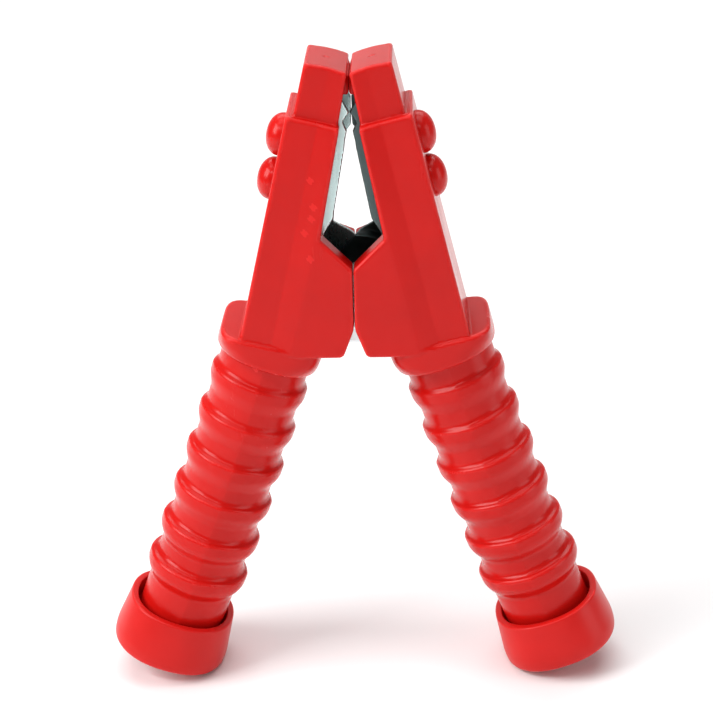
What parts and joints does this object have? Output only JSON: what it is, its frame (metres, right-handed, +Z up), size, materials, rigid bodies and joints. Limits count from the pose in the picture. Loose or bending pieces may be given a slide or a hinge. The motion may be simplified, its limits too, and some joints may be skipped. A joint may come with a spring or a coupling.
{
  "type": "spring clamp",
  "caption": "Fully insulated spring clamp with toothed steel jaws in red moulded covers, ribbed handles and open cable cups at the handle ends.",
  "frame": {"origin": "on the ground midway between the two handle ends, straight below the pivot", "axes": "+Z up from the handle ends to the jaw tips, +X towards the right half as the jaws open, +Y along the pivot, away from the front"},
  "size_m": [0.1258, 0.0306, 0.155],
  "materials": {
    "red_cover": "glossy moulded red plastic",
    "red_collar": "soft glossy red plastic",
    "zinc_jaw": "bright zinc plated pressed steel",
    "zinc_fastener": "zinc plated",
    "spring_wire": "bright spring wire",
    "brass": "plain brass"
  },
  "bodies": {
    "left_half": {"left_cover": "red_cover", "left_end_collar": "red_collar", "left_jaw": "zinc_jaw", "left_upper_stud": "red_cover", "left_lower_stud": "red_cover", "pivot_rivet": "zinc_fastener", "front_washer": "zinc_fastener", "rear_washer": "zinc_fastener", "spring_spool": "brass", "torsion_spring": "spring_wire", "left_terminal_screw": "zinc_fastener", "left_terminal_plate": "brass", "left_terminal_nut": "zinc_fastener"},
    "right_half": {"right_cover": "red_cover", "right_end_collar": "red_collar", "right_jaw": "zinc_jaw", "right_upper_stud": "red_cover", "right_lower_stud": "red_cover", "right_terminal_screw": "zinc_fastener", "right_terminal_plate": "brass", "right_terminal_nut": "zinc_fastener"}
  },
  "joints": [
    {"name": "jaw_hinge", "type": "hinge", "parent": "left_half", "child": "right_half", "pos_m": [0, 0, 0.0936], "axis": [0, 1, 0], "range_deg": [0, 38], "stiffness_Nm_per_rad": 2.5, "springref_deg": -34.38, "deforming": ["torsion_spring"]}
  ]
}
